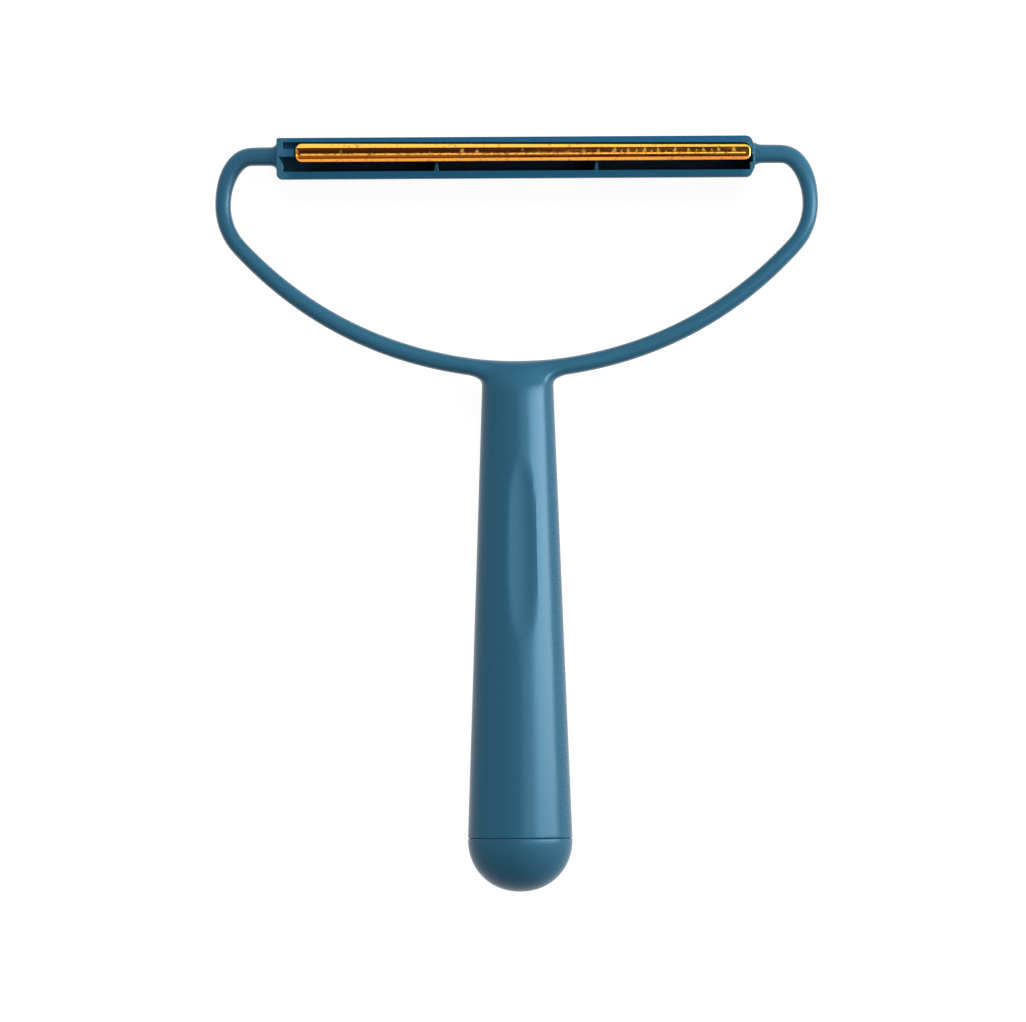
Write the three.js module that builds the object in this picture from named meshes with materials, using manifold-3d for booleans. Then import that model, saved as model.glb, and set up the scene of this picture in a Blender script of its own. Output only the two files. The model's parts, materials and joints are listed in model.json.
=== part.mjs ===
// A manual lint brush of the scraper kind: one moulded frame with a hollow handle, a bow and a trough-like
// head, a domed end cap that plugs into the handle, and two pressed copper blades clipped in the head.
// Millimetres. Drawn with X along the head, Y up the handle from the cap seam, and Z out of its front.
// At the end it is tipped a little, to lie on a table on its back blade and on the round of its handle.

import * as THREE from 'three';
import { mergeVertices } from 'three/addons/utils/BufferGeometryUtils.js';
import Module from 'manifold-3d';

const wasm = await Module();
wasm.setup();

// Handle: a tapered tube, open at the bottom and domed under the bow
const handleLength = 108.4; // cap seam to the bow's centre line
const handleMouthRadius = 12.1;
const handleTopRadius = 8.25;
const handleWall = 2.5;
const handleEdge = 0.3; // rounded-off edge at the seam
const shoulderHeight = 4.6; // dome at the handle's top
const shoulderRise = 1.2; // dome top above the bow's centre line
const boreEnd = 7; // solid length between the bore and the dome's top
const boreStep = 0.6; // ledge where the cap's socket meets the tapered bore
const neckFillet = 2.4; // between the handle's side and the bow's underside
const filletDepth = 4.8; // thickness of the fillet web, front to back

// Thumb hollows: shallow ovals on the front and back of the handle
const thumbHeight = 66.9; // seam to the middle of the oval
const thumbLength = 40;
const thumbWidth = 7.4;
const thumbHollow = 0.75; // dip below the chord across the oval's sides

// Bow: an oval bar from one end of the head, round under it and back to the other end
const armReach = 12.5; // end of the head out to the bow's widest point, on the bar's centre line
const bowDrop = 49.7; // arm line down to the lowest point of the centre line
const bowCornerWidth = 6.6; // elliptical bend beside the head
const bowCornerHeight = 11.4;
const bowSideRadius = 14.5; // bend below the widest point
const bowDepth = 6; // front to back
const neckDepth = 9; // front to back where the bow grows out of the handle
const neckReach = 19; // how far from the handle's axis the bow is thickened
const armThickness = 4.1; // in the plane of the bow, beside the head
const sideThickness = 3.25;
const bottomThickness = 3.7;

// Head: a long block with a trough in its front and another in its back
const headLength = 111;
const headHeight = 9.65;
const headDepth = 15;
const headBelowArms = 0.5; // arm line down to the middle of the head
const upperWall = 1.35;
const lowerWall = 1.7;
const endWall = 1.5;
const webThickness = 1.8; // wall between the two troughs
const headEdge = 0.35; // chamfer round the two rims
const squareEndRadius = 0.9; // corners at the left end, seen from the front
const roundEndRadius = 1.8; // corners at the right end
const ribThickness = 1.8; // carries the blade
const bareRib = 3.1; // rib left bare beside the blade
const crossRibSpacing = 37;
const crossRibThickness = 0.7;
const crossRibDrop = 0.9; // below the rim

// Blade: pressed strip with a lip all round, a toothed ridge in its floor, and two legs astride the rib
const bladeHeight = 4.1;
const bladeInnerRadius = 0.45; // inside corners of the lip
const bladeTuck = 0.7; // length of its end that sits in a pocket of the end wall
const lipProud = 0.6; // lips beyond the head's rim
const lipWidth = 1.05;
const lipFlat = 0.15; // flat left along the rounded crest
const valleyDepth = 1.5; // lip crest down to the floor
const sheet = 0.45;
const legLength = 2.6;
const ridgeWidth = 0.8;
const ridgeHeight = 0.8;
const ridgeOffset = 0.4; // below the middle of the blade
const ridgeEndGap = 0.8; // between the ridge and the lip at each end
const toothPitch = 3.5;
const toothLength = 0.9;
const toothReach = 0.35; // out of the ridge's upper flank

// End cap: a dome with a hollow spigot
const capHeight = 12.35;
const capWall = 1.8;
const capFullness = 2.15; // 2 is an ellipse, more is squarer
const spigotLength = 12;
const spigotWall = 1.8;
const spigotChamfer = 0.6;
const crushRibs = 4;
const crushRibWidth = 1.2;
const crushRibLeadIn = 2; // plain length at the spigot's tip

// Clearances
const seamGap = 0.3; // between handle and cap
const spigotClearance = 0.3; // all round the spigot, and past its end
const bladeClearance = 0.3; // blade to the head's walls and to the rib's crest
const legClearance = 0.25; // blade leg to the rib's side
const crushRibClearance = 0.15; // crush rib to the socket's wall

// Smoothness, as straight steps
const roundSteps = 40; // round the handle and the cap
const arcSteps = 14; // along each bend of the bow
const sectionSteps = 7; // half way round the bow's oval section
const scoopSteps = 48; // round a thumb hollow's ellipsoid
const shoulderSteps = 6; // down the handle's top, and down the cap's hollow
const domeSteps = 10; // down the cap's dome
const cornerSteps = 5; // round small corners and webs
const lipSteps = 3; // over half a blade lip

const overlap = 0.4; // how far one moulded feature is sunk in the next

// Places that follow from the sizes
const armLine = handleLength + bowDrop;
const bowHalfWidth = headLength / 2 + armReach;
const headMiddle = armLine - headBelowArms;
const headTop = headMiddle + headHeight / 2;
const headBottom = headMiddle - headHeight / 2;
const rim = headDepth / 2;
const troughTop = headTop - upperWall;
const troughBottom = headBottom + lowerWall;
const troughEnd = headLength / 2 - endWall;
const troughFloor = webThickness / 2;
const bladeTop = troughTop - bladeClearance;
const bladeBottom = bladeTop - bladeHeight;
const bladeLine = (bladeTop + bladeBottom) / 2;
const bladeLeft = bareRib - troughEnd;
const bladeRight = troughEnd + bladeTuck;
const lipCrest = rim + lipProud;
const lipRound = (lipWidth - lipFlat) / 2;
const bladeEndRadius = bladeInnerRadius + lipWidth;
const floorFront = lipCrest - valleyDepth;
const floorBack = floorFront - sheet;
const ribCrest = floorBack - bladeClearance;
const legEnd = floorBack - legLength;
const legInside = ribThickness / 2 + legClearance;
const socketRadius = handleMouthRadius - handleWall;
const spigotRadius = socketRadius - spigotClearance;
const shoulderTop = handleLength + shoulderRise;
const shoulderStart = shoulderTop - shoulderHeight;

const ring = (radius, angle) => new THREE.Vector2(radius * Math.cos(angle), radius * Math.sin(angle));
const quarter = (count) => Array.from({ length: count + 1 }, (_, i) => (i / count) * Math.PI / 2);

function solidOf(geometry) {
  const bare = geometry.clone();
  bare.deleteAttribute('normal');
  bare.deleteAttribute('uv');
  const merged = mergeVertices(bare, 1e-4);
  const corners = merged.index.array;
  const triangles = [];
  for (let i = 0; i < corners.length; i += 3) {
    const [a, b, c] = corners.slice(i, i + 3);
    if (a !== b && b !== c && c !== a) triangles.push(a, b, c);
  }
  return new wasm.Manifold(new wasm.Mesh({
    numProp: 3,
    vertProperties: new Float32Array(merged.attributes.position.array),
    triVerts: new Uint32Array(triangles),
  }));
}

function geometryOf(solid) {
  const mesh = solid.getMesh();
  const geometry = new THREE.BufferGeometry();
  geometry.setAttribute('position', new THREE.BufferAttribute(new Float32Array(mesh.vertProperties), 3));
  geometry.setIndex(new THREE.BufferAttribute(new Uint32Array(mesh.triVerts), 1));
  geometry.computeVertexNormals();
  return geometry;
}

function box(x0, x1, y0, y1, z0, z1) {
  const geometry = new THREE.BoxGeometry(x1 - x0, y1 - y0, z1 - z0);
  return geometry.translate((x0 + x1) / 2, (y0 + y1) / 2, (z0 + z1) / 2);
}

// The same feature on the front and, half a turn about the handle, on the back
const turned = (geometry) => geometry.clone().rotateY(Math.PI);
const frontAndBack = (geometry) => solidOf(geometry).add(solidOf(turned(geometry)));

// A rectangle with one corner radius at its left end and another at its right end
function roundedBar(outline, x0, x1, y0, y1, leftRadius, rightRadius) {
  outline.moveTo(x0 + leftRadius, y0);
  outline.lineTo(x1 - rightRadius, y0);
  outline.absarc(x1 - rightRadius, y0 + rightRadius, rightRadius, -Math.PI / 2, 0);
  outline.lineTo(x1, y1 - rightRadius);
  outline.absarc(x1 - rightRadius, y1 - rightRadius, rightRadius, 0, Math.PI / 2);
  outline.lineTo(x0 + leftRadius, y1);
  outline.absarc(x0 + leftRadius, y1 - leftRadius, leftRadius, Math.PI / 2, Math.PI);
  outline.lineTo(x0, y0 + leftRadius);
  outline.absarc(x0 + leftRadius, y0 + leftRadius, leftRadius, Math.PI, Math.PI * 1.5);
  return outline;
}

// An outline given a thickness from z0 to z1, with its edges rounded off inside that thickness
function plate(outline, z0, z1, edge, edgeSteps, curveSegments) {
  const geometry = new THREE.ExtrudeGeometry(outline, {
    depth: z1 - z0 - 2 * edge,
    bevelThickness: edge,
    bevelSize: edge,
    bevelOffset: -edge,
    bevelSegments: edgeSteps,
    bevelEnabled: edge > 0,
    curveSegments,
  });
  return geometry.translate(0, 0, z0 + edge);
}

// Handle tube, its taper and its blind bore
const taper = (handleMouthRadius - handleTopRadius) / (shoulderStart - seamGap / 2);
const handleRadius = (y) => handleMouthRadius - taper * (y - seamGap / 2);

function handleTube() {
  const bottom = seamGap / 2;
  const socketTop = bottom + spigotLength + spigotClearance;
  const boreTop = shoulderTop - boreEnd;
  const boreTopRadius = handleTopRadius - handleWall;
  const profile = [
    new THREE.Vector2(0, boreTop),
    new THREE.Vector2(boreTopRadius / 2, boreTop),
    new THREE.Vector2(boreTopRadius, boreTop - boreTopRadius / 2),
    new THREE.Vector2(handleRadius(socketTop) - handleWall - boreStep, socketTop),
    new THREE.Vector2(socketRadius, socketTop),
    new THREE.Vector2(socketRadius, bottom),
    new THREE.Vector2(handleMouthRadius - handleEdge, bottom),
    new THREE.Vector2(handleMouthRadius, bottom + handleEdge),
  ];
  for (const angle of quarter(shoulderSteps)) {
    const point = ring(1, angle);
    profile.push(new THREE.Vector2(handleTopRadius * point.x, shoulderStart + shoulderHeight * point.y));
  }
  profile.at(-1).x = 0;
  return new THREE.LatheGeometry(profile, roundSteps);
}

// Ellipsoid that scoops one thumb hollow, laid along the handle's slope
function thumbScoop() {
  const radius = handleRadius(thumbHeight);
  const halfWidth = thumbWidth / 2;
  const chordDrop = radius - Math.sqrt(radius ** 2 - halfWidth ** 2);
  const depth = chordDrop + thumbHollow;
  const across = (halfWidth ** 2 + thumbHollow ** 2) / (2 * thumbHollow);
  const along = (thumbLength / 2) / Math.sqrt(1 - ((across - depth) / across) ** 2);
  const scoop = new THREE.SphereGeometry(1, scoopSteps, scoopSteps);
  scoop.scale(across, along, across);
  scoop.translate(0, 0, across - depth);
  scoop.rotateX(-Math.atan(taper));
  return scoop.translate(0, thumbHeight, radius);
}

// Bow: the centre line is an arm, an elliptical corner, a side bend and one sweep under the head, mirrored
const sideLine = armLine - bowCornerHeight;
const sweepDrop = bowDrop - bowCornerHeight;
const sweepRadius = (sweepDrop ** 2 + bowHalfWidth ** 2 - 2 * bowHalfWidth * bowSideRadius)
  / (2 * (sweepDrop - bowSideRadius));
const sideTurn = Math.acos((bowHalfWidth - bowSideRadius) / (sweepRadius - bowSideRadius));

function bowLine() {
  const root = headLength / 2 - endWall / 2;
  const corner = bowHalfWidth - bowCornerWidth;
  const side = bowHalfWidth - bowSideRadius;
  const path = new THREE.Path();
  path.moveTo(root, armLine);
  path.lineTo(corner, armLine);
  path.absellipse(corner, sideLine, bowCornerWidth, bowCornerHeight, Math.PI / 2, 0, true);
  path.absarc(side, sideLine, bowSideRadius, 0, -sideTurn, true);
  path.absarc(0, handleLength + sweepRadius, sweepRadius, -sideTurn, sideTurn - Math.PI, true);
  path.absarc(-side, sideLine, bowSideRadius, sideTurn - Math.PI, -Math.PI, true);
  path.absellipse(-corner, sideLine, bowCornerWidth, bowCornerHeight, Math.PI, Math.PI / 2, true);
  path.lineTo(-root, armLine);
  return path;
}

function bowThickness(y) {
  const upper = THREE.MathUtils.smoothstep(y, sideLine, armLine);
  const lower = THREE.MathUtils.smoothstep(-y, -sideLine, -handleLength);
  return sideThickness + (armThickness - sideThickness) * upper + (bottomThickness - sideThickness) * lower;
}

function bowDepthAt(x) {
  return neckDepth - (neckDepth - bowDepth) * THREE.MathUtils.smoothstep(Math.abs(x), 0, neckReach);
}

function bowBar() {
  const stations = [];
  for (const curve of bowLine().curves) {
    const count = curve.isEllipseCurve ? arcSteps : 1;
    for (let i = stations.length ? 1 : 0; i <= count; i++) {
      stations.push({ point: curve.getPoint(i / count), along: curve.getTangent(i / count) });
    }
  }
  const section = new THREE.Shape().absellipse(0, 0, 0.5, 0.5, 0, Math.PI * 2);
  const steps = stations.length - 1;
  const options = { depth: 1, steps, bevelEnabled: false, curveSegments: sectionSteps };
  const bar = new THREE.ExtrudeGeometry(section, options);
  const corners = bar.attributes.position;
  for (let i = 0; i < corners.count; i++) {
    const { point, along } = stations[Math.round(corners.getZ(i) * steps)];
    const across = corners.getX(i) * bowThickness(point.y);
    const depth = corners.getY(i) * bowDepthAt(point.x);
    corners.setXYZ(i, point.x - along.y * across, point.y + along.x * across, depth);
  }
  return bar;
}

// Web that rounds the corner between the handle's sides and the bow's underside
function neckWeb() {
  const reach = handleRadius(shoulderStart) + neckFillet;
  const middle = handleLength + sweepRadius - Math.sqrt(sweepRadius ** 2 - reach ** 2);
  const underside = middle - bottomThickness / 2;
  const centre = underside - neckFillet;
  const outline = new THREE.Shape();
  outline.moveTo(reach - neckFillet, centre);
  outline.absarc(reach, centre, neckFillet, Math.PI, Math.PI / 2, true);
  outline.lineTo(reach, middle);
  outline.lineTo(0, handleLength);
  outline.lineTo(-reach, middle);
  outline.absarc(-reach, centre, neckFillet, Math.PI / 2, 0, true);
  return plate(outline, -filletDepth / 2, filletDepth / 2, 0, 0, cornerSteps);
}

// Head block and what is cut from it and moulded in it, each feature for the front trough
function headBlock() {
  const half = headLength / 2;
  const sides = [-half, half, headBottom, headTop];
  const outline = roundedBar(new THREE.Shape(), ...sides, squareEndRadius, roundEndRadius);
  return plate(outline, -rim, rim, headEdge, 1, cornerSteps);
}

const trough = () => box(-troughEnd, troughEnd, troughBottom, troughTop, troughFloor, rim + overlap);

function endPocket(side) {
  const inner = troughEnd - overlap;
  const outer = troughEnd + bladeTuck + bladeClearance;
  const [x0, x1] = side > 0 ? [inner, outer] : [-outer, -inner];
  const y0 = bladeBottom - bladeClearance;
  return box(x0, x1, y0, troughTop, legEnd - bladeClearance, rim + overlap);
}

function bladeRib() {
  const half = ribThickness / 2;
  const end = troughEnd + overlap;
  return box(-end, end, bladeLine - half, bladeLine + half, 0, ribCrest);
}

// Full-height end of the rib, level with the rim, that shows beside the blade
function ribStop() {
  const half = ribThickness / 2;
  const outer = -(troughEnd + bladeTuck + bladeClearance + overlap);
  return box(outer, bladeLeft - bladeClearance, bladeLine - half, bladeLine + half, 0, rim);
}

function crossRib(side) {
  const x = side * crossRibSpacing / 2;
  const [x0, x1] = [x - crossRibThickness / 2, x + crossRibThickness / 2];
  const low = box(x0, x1, troughBottom - overlap, troughTop + overlap, 0, legEnd - bladeClearance);
  const tall = box(x0, x1, troughBottom - overlap, bladeBottom - bladeClearance, 0, rim - crossRibDrop);
  return [low, tall];
}

function frameGeometry() {
  let head = solidOf(headBlock());
  const cuts = [trough(), endPocket(-1), endPocket(1)];
  for (const cut of cuts) head = head.subtract(frontAndBack(cut));
  const bars = [bladeRib(), ribStop(), ...crossRib(-1), ...crossRib(1)];
  for (const bar of bars) head = head.add(frontAndBack(bar));
  const scoop = frontAndBack(thumbScoop());
  const handle = solidOf(handleTube()).subtract(scoop);
  return geometryOf(handle.add(solidOf(neckWeb())).add(solidOf(bowBar())).add(head));
}

// One blade, drawn in the front trough
function bladeRidge() {
  const round = ridgeWidth / 2;
  const start = bladeLeft + lipWidth + ridgeEndGap;
  const end = bladeRight - lipWidth - ridgeEndGap;
  const section = new THREE.Shape();
  section.moveTo(round, -sheet / 2);
  section.lineTo(round, ridgeHeight - round);
  section.absarc(0, ridgeHeight - round, round, 0, Math.PI);
  section.lineTo(-round, -sheet / 2);
  const options = { depth: end - start, bevelEnabled: false, curveSegments: cornerSteps };
  const bar = new THREE.ExtrudeGeometry(section, options);
  bar.rotateX(Math.PI / 2).rotateZ(Math.PI / 2);
  bar.translate(start, bladeLine - ridgeOffset, floorFront);
  return { bar, start, end };
}

// A small wedge punched out of the ridge's upper flank
function tooth(x) {
  const y = bladeLine - ridgeOffset;
  const wedge = new THREE.Shape();
  wedge.moveTo(x - toothLength / 2, y);
  wedge.lineTo(x + toothLength / 2, y);
  wedge.lineTo(x + toothLength / 4, y + ridgeWidth / 2 + toothReach);
  return plate(wedge, floorFront - sheet / 2, floorFront + ridgeHeight - ridgeWidth / 4, 0, 0, 1);
}

function bladeGeometry() {
  const outside = [bladeLeft, bladeRight, bladeBottom, bladeTop, bladeEndRadius, bladeEndRadius];
  const inside = [bladeLeft + lipWidth, bladeRight - lipWidth, bladeBottom + lipWidth, bladeTop - lipWidth];
  const rimShape = roundedBar(new THREE.Shape(), ...outside);
  const floor = plate(rimShape.clone(), floorBack, floorFront, 0, 0, cornerSteps);
  rimShape.holes.push(roundedBar(new THREE.Path(), ...inside, bladeInnerRadius, bladeInnerRadius));
  const lips = plate(rimShape, floorBack, lipCrest, lipRound, lipSteps, cornerSteps);
  let blade = solidOf(lips).add(solidOf(floor));
  const { bar, start, end } = bladeRidge();
  blade = blade.add(solidOf(bar));
  const teeth = Math.floor((end - start - toothLength) / toothPitch);
  for (let i = 0; i <= teeth; i++) {
    const x = (start + end) / 2 + (i - teeth / 2) * toothPitch;
    blade = blade.add(solidOf(tooth(x)));
  }
  const [x0, x1] = [bladeLeft + bladeEndRadius, bladeRight - bladeEndRadius];
  for (const side of [-1, 1]) {
    const middle = bladeLine + side * (legInside + sheet / 2);
    const leg = box(x0, x1, middle - sheet / 2, middle + sheet / 2, legEnd, floorFront - sheet / 2);
    blade = blade.add(solidOf(leg));
  }
  return geometryOf(blade);
}

// End cap: dome below the seam, spigot above it, one cup-shaped hollow in both
function capGeometry() {
  const top = -seamGap / 2;
  const spigotTop = top + spigotLength;
  const cupRadius = spigotRadius - spigotWall;
  const cupCentre = capWall + cupRadius - capHeight;
  const profile = quarter(shoulderSteps).map((angle) => {
    const point = ring(cupRadius, angle - Math.PI / 2);
    return new THREE.Vector2(point.x, cupCentre + point.y);
  });
  profile[0].x = 0;
  profile.reverse();
  profile.unshift(new THREE.Vector2(cupRadius, spigotTop));
  profile.unshift(new THREE.Vector2(spigotRadius - spigotChamfer, spigotTop));
  profile.unshift(new THREE.Vector2(spigotRadius, spigotTop - spigotChamfer));
  profile.unshift(new THREE.Vector2(spigotRadius, top));
  profile.unshift(new THREE.Vector2(handleMouthRadius - handleEdge, top));
  const domeTop = top - handleEdge;
  for (const angle of quarter(domeSteps)) {
    const point = ring(1, angle);
    const radius = handleMouthRadius * Math.abs(point.x) ** (2 / capFullness);
    const drop = (capHeight + domeTop) * point.y ** (2 / capFullness);
    profile.unshift(new THREE.Vector2(radius, domeTop - drop));
  }
  profile[0].x = 0;
  let cap = solidOf(new THREE.LatheGeometry(profile, roundSteps));
  for (let i = 0; i < crushRibs; i++) {
    const rib = box(
      spigotRadius - overlap, socketRadius - crushRibClearance,
      top, spigotTop - crushRibLeadIn,
      -crushRibWidth / 2, crushRibWidth / 2,
    );
    cap = cap.add(solidOf(rib.rotateY((i / crushRibs) * Math.PI * 2)));
  }
  return geometryOf(cap);
}

const plastic = () => new THREE.MeshStandardMaterial({ color: 0x2b6380, roughness: 0.32, metalness: 0 });
const copper = () => new THREE.MeshStandardMaterial({ color: 0xe6a441, roughness: 0.28, metalness: 1 });

function piece(name, geometry, material) {
  const mesh = new THREE.Mesh(geometry, material);
  mesh.name = name;
  return mesh;
}

const tool = new THREE.Group();
tool.add(piece('frame', frameGeometry(), plastic()));
tool.add(piece('end_cap', capGeometry(), plastic()));
tool.add(piece('front_blade', bladeGeometry(), copper()));
tool.add(piece('rear_blade', turned(bladeGeometry()), copper()));

// Lying down: the handle's mouth and the back blade's upper lip touch the table
const mouthContact = seamGap / 2 + handleEdge;
const lipContact = bladeTop - lipRound;
tool.rotation.x = -Math.atan2(handleMouthRadius - lipCrest, lipContact - mouthContact);

const lintBrush = new THREE.Group();
lintBrush.add(tool);
const extent = new THREE.Box3().setFromObject(lintBrush, true);
tool.position.set(0, -(extent.min.y + extent.max.y) / 2, -extent.min.z);

export default lintBrush;
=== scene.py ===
"""A manual lint brush in a white studio: a moulded frame, an end cap and two copper scraping blades.

The file is laid out as an add-on and run as a script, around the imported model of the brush. Each piece is
modelled in millimetres in the brush's own frame: X along the head, Y up the handle from the cap's seam
and Z out of the front. A finished piece is then scaled to metres and laid where its node lies.
"""

import json
import math
import random
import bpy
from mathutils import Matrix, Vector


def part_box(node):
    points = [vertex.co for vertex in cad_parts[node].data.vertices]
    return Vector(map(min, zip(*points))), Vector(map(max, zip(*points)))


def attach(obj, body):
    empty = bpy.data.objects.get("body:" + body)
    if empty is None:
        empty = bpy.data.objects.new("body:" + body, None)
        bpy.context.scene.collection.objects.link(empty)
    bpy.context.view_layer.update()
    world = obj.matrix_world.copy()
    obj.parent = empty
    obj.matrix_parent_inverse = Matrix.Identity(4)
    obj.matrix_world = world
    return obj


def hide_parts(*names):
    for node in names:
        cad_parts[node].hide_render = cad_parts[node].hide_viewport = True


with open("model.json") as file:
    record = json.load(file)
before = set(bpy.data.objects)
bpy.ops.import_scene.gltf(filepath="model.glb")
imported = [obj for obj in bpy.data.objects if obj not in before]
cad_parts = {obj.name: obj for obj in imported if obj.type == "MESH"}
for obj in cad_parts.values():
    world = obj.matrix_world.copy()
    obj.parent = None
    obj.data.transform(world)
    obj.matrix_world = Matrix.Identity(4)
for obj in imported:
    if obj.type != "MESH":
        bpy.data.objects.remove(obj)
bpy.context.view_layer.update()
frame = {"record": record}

from types import SimpleNamespace

import bmesh
import bpy
from bpy.props import FloatProperty, FloatVectorProperty, IntProperty, PointerProperty
from mathutils import Euler, Vector

bl_info = {
    "name": "Lint Brush",
    "version": (1, 0, 0),
    "blender": (4, 5, 0),
    "location": "View3D > Sidebar > Lint Brush",
    "description": "Models a scraper lint brush with its plastic, its copper and a white studio",
    "category": "Add Mesh",
}

MM = 0.001
HALF_TURN = math.pi
QUARTER_TURN = math.pi / 2

# In millimetres: points this near count as one, and joined bodies reach this far into each other
NEAR = 0.01
OVERLAP = 0.4

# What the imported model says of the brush's lie on the table and of its main sizes
head_top_face = next(m for m in frame["record"]["mounts"] if m["name"] == "head_top_face")
handle_way = Vector(head_top_face["axis"])
brush_tilt = math.atan2(handle_way.z, handle_way.y)
_, cap_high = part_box("end_cap")
blade_low, blade_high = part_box("front_blade")

# In millimetres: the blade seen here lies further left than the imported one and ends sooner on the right
LEFT_MORE = 0.2
RIGHT_LESS = 0.5


def number(description, value, **settings):
    """A number property."""
    return FloatProperty(description=description, default=value, **settings)


def factor(description, value):
    """A property for a share, from 0 to 1."""
    return number(description, value, min=0, max=1, subtype="FACTOR")


def distance(description, millimetres):
    """A length property, written in millimetres and kept in metres."""
    limits = {"min": 0, "precision": 5}
    return number(description, millimetres * MM, unit="LENGTH", subtype="DISTANCE", **limits)


def paint(description, colour):
    """A property for an opaque colour, given as linear red, green and blue."""
    settings = {"size": 4, "min": 0, "max": 1, "subtype": "COLOR"}
    return FloatVectorProperty(description=description, default=(*colour, 1), **settings)


def named(group):
    """Gives each property of a group its attribute's name in words."""
    for attribute, made in group.__annotations__.items():
        made.keywords["name"] = attribute.replace("_", " ").capitalize()
    return group


@named
class HandleSizes(bpy.types.PropertyGroup):
    """The hollow handle and its thumb hollows"""

    mouth_radius: distance("Outside radius at the cap", cap_high.x / MM)
    top_radius: distance("Outside radius under the shoulder", 8.25)
    straight: distance("Seam up to the rounded shoulder", 105)
    wall: distance("Thickness of the tube", 2.5)
    seam_gap: distance("Open joint between handle and cap", 0.05)
    edge: distance("Rounding at the joint", 0.3)
    socket: distance("Depth of the socket for the cap's spigot", 12.3)
    ledge: distance("Step from the socket to the bore", 0.6)
    bore_end: distance("Seam up to the end of the bore", 102.6)
    thumb_height: distance("Seam up to the middle of the thumb hollows", 66.9)
    thumb_length: distance("Length of each thumb hollow", 42)
    thumb_width: distance("Width of each thumb hollow", 7.0)
    thumb_offset: distance("Hollow's middle to the side of the handle's", 0.85)
    thumb_dip: distance("Dip below the chord across a hollow", 0.28)
    thumb_bluntness: number("2 is an ellipse, more has blunter ends", 3.2, min=2)
    thumb_left_rim: number("Softness of a hollow's left rim", 0.36, min=0.01)
    thumb_right_rim: number("Softness of a hollow's right rim", 0.24, min=0.01)


@named
class BowSizes(bpy.types.PropertyGroup):
    """The bar that bows from one end of the head to the other"""

    height: distance("Seam up to the bow's lowest centre line", 108.5)
    half_width: distance("Handle's axis out to the widest point", 68)
    drop: distance("Arms down to the lowest centre line", 49.6)
    corner_width: distance("Width of the bend beside the head", 6.6)
    corner_height: distance("Height of the bend beside the head", 11.4)
    side_radius: distance("Bend below the widest point", 14.5)
    depth: distance("Bar from front to back", 6)
    neck_depth: distance("Bar from front to back at the handle", 7.2)
    arm: distance("Thickness beside the head", 4.1)
    side: distance("Thickness at the sides", 3.45)
    bottom: distance("Thickness at the handle", 3.85)
    neck_fillet: distance("Rounding between handle and bow", 1.9)
    root_fillet: distance("Rounding between arm and head", 0.9)


@named
class HeadSizes(bpy.types.PropertyGroup):
    """The long block with a trough in its front and another in its back"""

    length: distance("Along the head", 111)
    height: distance("Lower side to upper side", 9.6)
    depth: distance("Front rim to back rim", 15)
    mount_height: distance("Packed head's top face above the handle's seam", 162.425)
    below_arms: distance("Arms down to the middle of the head", 0.57)
    upper_wall: distance("Thickness above the trough's left end", 1.03)
    upper_taper: distance("How much thicker it is above the trough's right end", 0.6)
    lower_wall: distance("Thickness below the trough", 1.75)
    end_wall: distance("Thickness beyond the trough", 1.5)
    web: distance("Wall between the two troughs", 1.8)
    edge: distance("Rounding of the rims", 0.22)
    sharp_corner: distance("Left end's upper corner", 0.5)
    blunt_corner: distance("Left end's lower corner", 1.3)
    short: distance("Right end short of half the length", 0.35)
    slant: distance("How far the right end leans in above and below the arm", 1.1)
    slant_height: distance("Height of the leaning parts of the right end", 2.3)
    round_corner: distance("Corner radius at the front's right end", 0.9)
    trough_corner: distance("Radius of the trough's upper right corner", 1.4)
    rib: distance("Thickness of the rib that carries a blade", 1.8)
    left_rib_drop: distance("Rim down to the rib beyond the blade's left end", 0.06)
    pocket: distance("How far an end pocket goes into the wall", 1)
    pocket_lap: distance("Left pocket's narrow side into the trough", 0.05)
    pocket_gap: distance("Blade's right end to its pocket", 0.15)
    shelf: distance("Rim down to the shelf beside the blade's left end", 1.8)
    notch: distance("Right end's notch to the outside", 0.5)
    cross_rib_spacing: distance("Between the two cross ribs", 37)
    cross_rib: distance("Thickness of a cross rib at its foot", 1.05)
    cross_rib_drop: distance("Rim down to a cross rib's crest", 0.9)
    inner_edge: distance("Rounding of the edges in the trough", 0.12)


@named
class BladeSizes(bpy.types.PropertyGroup):
    """A pressed copper strip with a lip all round and a toothed ridge"""

    left: distance("Left end from the handle's axis", LEFT_MORE - blade_low.x / MM)
    right: distance("Right end from the handle's axis", blade_high.x / MM - RIGHT_LESS)
    height: distance("Across both lips at the left end", 4.35)
    right_height: distance("Across both lips at the right end", 3.7)
    clearance: distance("Blade to the trough's upper wall and to the rib", 0.3)
    corner: distance("Radius of the outside corners", 1.5)
    lip: distance("Width of the lip", 1.0)
    end_lip: distance("Width of the lip at the blade's ends", 0.5)
    lean: number("Turn of the valleys against the lip", 0.0027, unit="ROTATION")
    lip_flat: distance("Flat along the lip's crest", 0.15)
    lip_proud: distance("Lip's crest beyond the rim", 0.6)
    valley: distance("Lip's crest down to the floor", 1.5)
    fillet: distance("Rounding at the lip's foot", 0.2)
    sheet: distance("Thickness of the strip", 0.45)
    leg: distance("Length of the legs astride the rib", 2.6)
    leg_gap: distance("Leg to the rib's side", 0.25)
    ridge_width: distance("Ridge across", 0.7)
    ridge_height: distance("Ridge above the floor", 0.8)
    ridge_offset: distance("Ridge below the blade's middle", 0.3)
    ridge_end: distance("Ridge's end to the foot of the lip", 0.5)
    tooth_pitch: distance("From tooth to tooth", 3.5)
    tooth_root: distance("Width of a tooth at the ridge", 1.3)
    tooth_tip: distance("Width of a tooth at its tip", 0.25)
    tooth_reach: distance("Tooth out of the ridge's flank", 0.95)
    tooth_shift: distance("Row of teeth to the right of the blade's middle", 1.65)


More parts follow.
